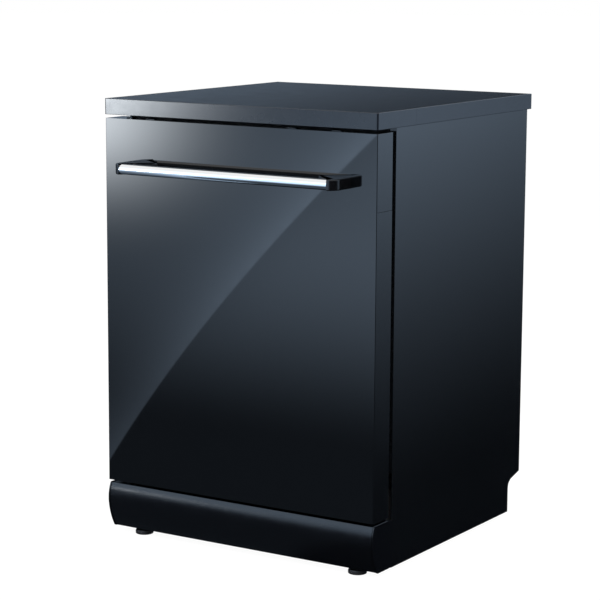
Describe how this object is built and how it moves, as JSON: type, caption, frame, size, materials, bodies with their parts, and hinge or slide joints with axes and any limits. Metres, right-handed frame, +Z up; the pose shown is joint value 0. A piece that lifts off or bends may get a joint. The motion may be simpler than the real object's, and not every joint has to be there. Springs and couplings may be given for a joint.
{
  "type": "dishwasher",
  "caption": "Free-standing dishwasher with a worktop, a drop-down door with a bar handle, a bowed plinth, pull-out wire racks, spray arms, filter, pumps and levelling feet.",
  "frame": {"origin": "on the floor, midway between the left and right sides and midway between the front of the handle and the worktop's back edge", "axes": "+Z up; -Y towards the front of the dishwasher, where the door and handle are; X from left to right seen from the front"},
  "size_m": [0.6, 0.6534, 0.85],
  "materials": {
    "painted_panel": "dark slate gloss enamel",
    "galvanised_steel": "galvanised sheet",
    "stainless_steel": "brushed stainless sheet",
    "worktop_laminate": "dark laminate on chipboard",
    "trim_plastic": "dark moulded edge trim",
    "console_plastic": "dark gloss moulding",
    "lens": "smoked clear window",
    "circuit_board": "coated circuit board",
    "button_plastic": "satin key cap",
    "seal_rubber": "soft rubber",
    "sound_mat": "heavy bitumen felt",
    "base_plastic": "moulded base plastic",
    "plinth_plastic": "dark satin moulding",
    "pale_plastic": "off-white moulding",
    "grey_plastic": "grey moulding",
    "rack_coating": "grey nylon coat on wire",
    "handle_chrome": "polished chrome plate",
    "bracket_plastic": "black gloss moulding",
    "spring_steel": "oiled spring wire",
    "foot_plastic": "black moulded foot",
    "motor_housing": "dark pump housing"
  },
  "bodies": {
    "cabinet": {"side_panel_right": "painted_panel", "side_panel_left": "painted_panel", "rear_panel": "galvanised_steel", "worktop_board": "worktop_laminate", "worktop_edging": "trim_plastic", "top_crossbars": "galvanised_steel", "tub": "stainless_steel", "door_seal": "seal_rubber", "sump": "grey_plastic", "filter_plate": "stainless_steel", "feed_pipe": "pale_plastic", "roller_brackets": "stainless_steel", "base_tray": "base_plastic", "plinth": "plinth_plastic", "hinge_brackets": "galvanised_steel", "door_springs": "spring_steel", "circulation_pump": "motor_housing", "drain_pump": "motor_housing", "water_softener": "pale_plastic", "water_chamber": "pale_plastic", "inlet_valve": "pale_plastic", "drain_outlet": "grey_plastic"},
    "door": {"door_front_panel": "painted_panel", "control_console": "console_plastic", "display_window": "lens", "control_board": "circuit_board", "door_inner_panel": "stainless_steel", "door_bottom_seal": "seal_rubber", "door_insulation": "sound_mat", "hinge_arms": "galvanised_steel", "door_latch": "motor_housing", "dispenser_body": "grey_plastic", "handle_bar": "handle_chrome", "handle_brackets": "bracket_plastic"},
    "lower_rack": {"lower_rack": "rack_coating", "lower_rack_clips": "grey_plastic", "cutlery_basket": "grey_plastic"},
    "upper_rack": {"upper_rack": "rack_coating", "upper_rails": "stainless_steel", "upper_manifold": "grey_plastic"},
    "filter_cup": {"filter_cup": "grey_plastic"},
    "salt_cap": {"salt_cap": "grey_plastic"},
    "lower_arm": {"lower_arm": "grey_plastic"},
    "upper_rollers_front": {"upper_rollers_front": "pale_plastic"},
    "upper_rollers_rear": {"upper_rollers_rear": "pale_plastic"},
    "foot_front_left": {"foot_front_left": "foot_plastic"},
    "foot_front_right": {"foot_front_right": "foot_plastic"},
    "foot_rear_left": {"foot_rear_left": "foot_plastic"},
    "foot_rear_right": {"foot_rear_right": "foot_plastic"},
    "power_button": {"power_button": "button_plastic"},
    "program_button": {"program_button": "button_plastic"},
    "start_button": {"start_button": "button_plastic"},
    "dispenser_lid": {"dispenser_lid": "pale_plastic"},
    "rinse_aid_cap": {"rinse_aid_cap": "grey_plastic"},
    "lower_wheels_front": {"lower_wheels_front": "grey_plastic"},
    "lower_wheels_rear": {"lower_wheels_rear": "grey_plastic"},
    "lower_fold_tines": {"lower_fold_tines": "rack_coating"},
    "upper_arm": {"upper_arm": "grey_plastic"},
    "cup_shelf_right": {"cup_shelf_right": "grey_plastic"},
    "cup_shelf_left": {"cup_shelf_left": "grey_plastic"}
  },
  "joints": [
    {"name": "door_hinge", "type": "hinge", "parent": "cabinet", "child": "door", "pos_m": [0, -0.2537, 0.137], "axis": [1, 0, 0], "range_deg": [0, 90], "deforming": ["door_springs"]},
    {"name": "lower_rack_slide", "type": "slide", "parent": "cabinet", "child": "lower_rack", "axis": [0, -1, 0], "range_m": [0, 0.13]},
    {"name": "upper_rack_slide", "type": "slide", "parent": "cabinet", "child": "upper_rack", "axis": [0, -1, 0], "range_m": [0, 0.34]},
    {"name": "lower_wheels_front_spin", "type": "hinge", "parent": "lower_rack", "child": "lower_wheels_front", "pos_m": [0, -0.1337, 0.1963], "axis": [1, 0, 0], "range_deg": [0, 414]},
    {"name": "lower_wheels_rear_spin", "type": "hinge", "parent": "lower_rack", "child": "lower_wheels_rear", "pos_m": [0, 0.1663, 0.1963], "axis": [1, 0, 0], "range_deg": [0, 414]},
    {"name": "upper_rollers_front_spin", "type": "hinge", "parent": "cabinet", "child": "upper_rollers_front", "pos_m": [0, -0.1717, 0.552], "axis": [1, 0, 0], "range_deg": [0, 1910]},
    {"name": "upper_rollers_rear_spin", "type": "hinge", "parent": "cabinet", "child": "upper_rollers_rear", "pos_m": [0, -0.0947, 0.552], "axis": [1, 0, 0], "range_deg": [0, 1910]},
    {"name": "lower_arm_spin", "type": "hinge", "parent": "cabinet", "child": "lower_arm", "pos_m": [0, 0.04275, 0.195], "axis": [0, 0, 1], "continuous": true},
    {"name": "upper_arm_spin", "type": "hinge", "parent": "upper_rack", "child": "upper_arm", "pos_m": [0, 0.04275, 0.482], "axis": [0, 0, 1], "continuous": true},
    {"name": "dispenser_lid_hinge", "type": "hinge", "parent": "door", "child": "dispenser_lid", "pos_m": [-0.094, -0.2084, 0.415], "axis": [0, 0, 1], "range_deg": [0, 100]},
    {"name": "rinse_aid_cap_turn", "type": "hinge", "parent": "door", "child": "rinse_aid_cap", "pos_m": [0.052, -0.208, 0.415], "axis": [0, 1, 0], "range_deg": [0, 90]},
    {"name": "power_button_press", "type": "slide", "parent": "door", "child": "power_button", "axis": [0, 0, -1], "range_m": [0, 0.0012], "stiffness_N_per_m": 1500},
    {"name": "program_button_press", "type": "slide", "parent": "door", "child": "program_button", "axis": [0, 0, -1], "range_m": [0, 0.0012], "stiffness_N_per_m": 1500},
    {"name": "start_button_press", "type": "slide", "parent": "door", "child": "start_button", "axis": [0, 0, -1], "range_m": [0, 0.0012], "stiffness_N_per_m": 1500},
    {"name": "filter_cup_turn", "type": "hinge", "parent": "cabinet", "child": "filter_cup", "pos_m": [0.044, 0.00075, 0.152], "axis": [0, 0, 1], "range_deg": [0, 90]},
    {"name": "salt_cap_turn", "type": "hinge", "parent": "cabinet", "child": "salt_cap", "pos_m": [-0.196, -0.01725, 0.18], "axis": [0, 0, 1], "range_deg": [0, 360]},
    {"name": "lower_fold_tines_fold", "type": "hinge", "parent": "lower_rack", "child": "lower_fold_tines", "pos_m": [0, 0.1033, 0.221], "axis": [1, 0, 0], "range_deg": [-85, 0]},
    {"name": "cup_shelf_right_fold", "type": "hinge", "parent": "upper_rack", "child": "cup_shelf_right", "pos_m": [0.234, 0.0358, 0.644], "axis": [0, 1, 0], "range_deg": [0, 80]},
    {"name": "cup_shelf_left_fold", "type": "hinge", "parent": "upper_rack", "child": "cup_shelf_left", "pos_m": [-0.234, 0.0358, 0.644], "axis": [0, -1, 0], "range_deg": [0, 80]},
    {"name": "foot_front_left_height", "type": "slide", "parent": "cabinet", "child": "foot_front_left", "axis": [0, 0, -1], "range_m": [0, 0.03]},
    {"name": "foot_front_right_height", "type": "slide", "parent": "cabinet", "child": "foot_front_right", "axis": [0, 0, -1], "range_m": [0, 0.03]},
    {"name": "foot_rear_left_height", "type": "slide", "parent": "cabinet", "child": "foot_rear_left", "axis": [0, 0, -1], "range_m": [0, 0.03]},
    {"name": "foot_rear_right_height", "type": "slide", "parent": "cabinet", "child": "foot_rear_right", "axis": [0, 0, -1], "range_m": [0, 0.03]}
  ],
  "couplings": [
    {"joint": "lower_rack_slide", "follows": "door_hinge", "m_per_rad": 0.08276},
    {"joint": "upper_rack_slide", "follows": "door_hinge", "m_per_rad": 0.21645},
    {"joint": "lower_wheels_front_spin", "follows": "door_hinge", "ratio": 4.5978},
    {"joint": "lower_wheels_rear_spin", "follows": "door_hinge", "ratio": 4.5978},
    {"joint": "upper_rollers_front_spin", "follows": "door_hinge", "ratio": 21.221},
    {"joint": "upper_rollers_rear_spin", "follows": "door_hinge", "ratio": 21.221}
  ]
}
